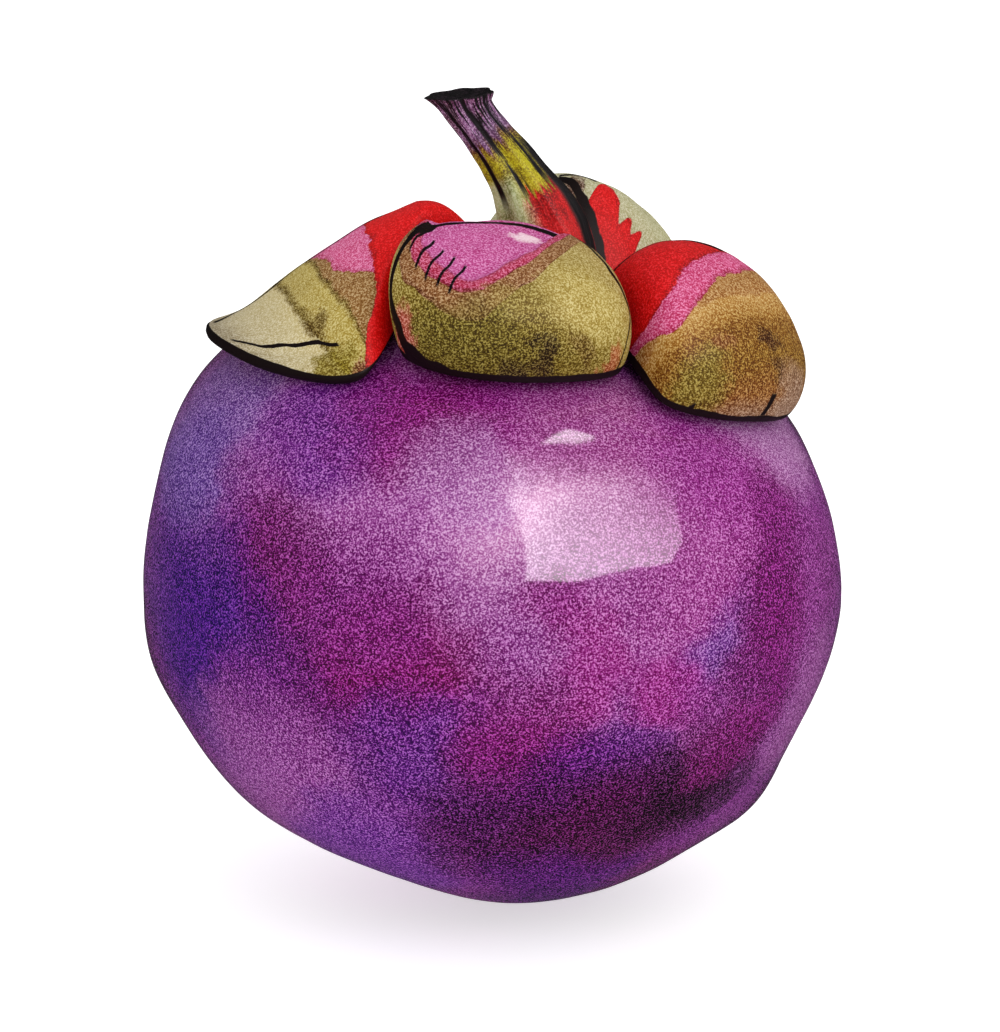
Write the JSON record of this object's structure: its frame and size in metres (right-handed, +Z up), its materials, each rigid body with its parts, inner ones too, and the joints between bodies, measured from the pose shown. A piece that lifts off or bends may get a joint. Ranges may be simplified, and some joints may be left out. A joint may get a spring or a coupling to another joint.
{
  "type": "mangosteen",
  "caption": "Whole ripe mangosteen with thick rounded sepals and a short leaning stalk, standing on its dry stigma rosette.",
  "frame": {"origin": "middle of the stigma rosette's flat underside, where the fruit stands", "axes": "+Z up towards the stalk, -Y towards the front sepal, +X towards the right sepal"},
  "size_m": [0.0594, 0.0599, 0.0707],
  "materials": {
    "rind": "smooth waxy rind, satin, purple with blue-violet and maroon patches",
    "sepal": "thick matt skin, red at the base through pink and tan to olive at the tip",
    "stalk": "ridged green bark with a dark dry cut end",
    "stigma": "dry brown crust"
  },
  "bodies": {
    "root": {"rind": "rind", "sepal_front": "sepal", "sepal_right": "sepal", "sepal_left": "sepal", "sepal_back": "sepal", "stalk": "stalk", "stigma_rosette": "stigma"}
  },
  "joints": []
}
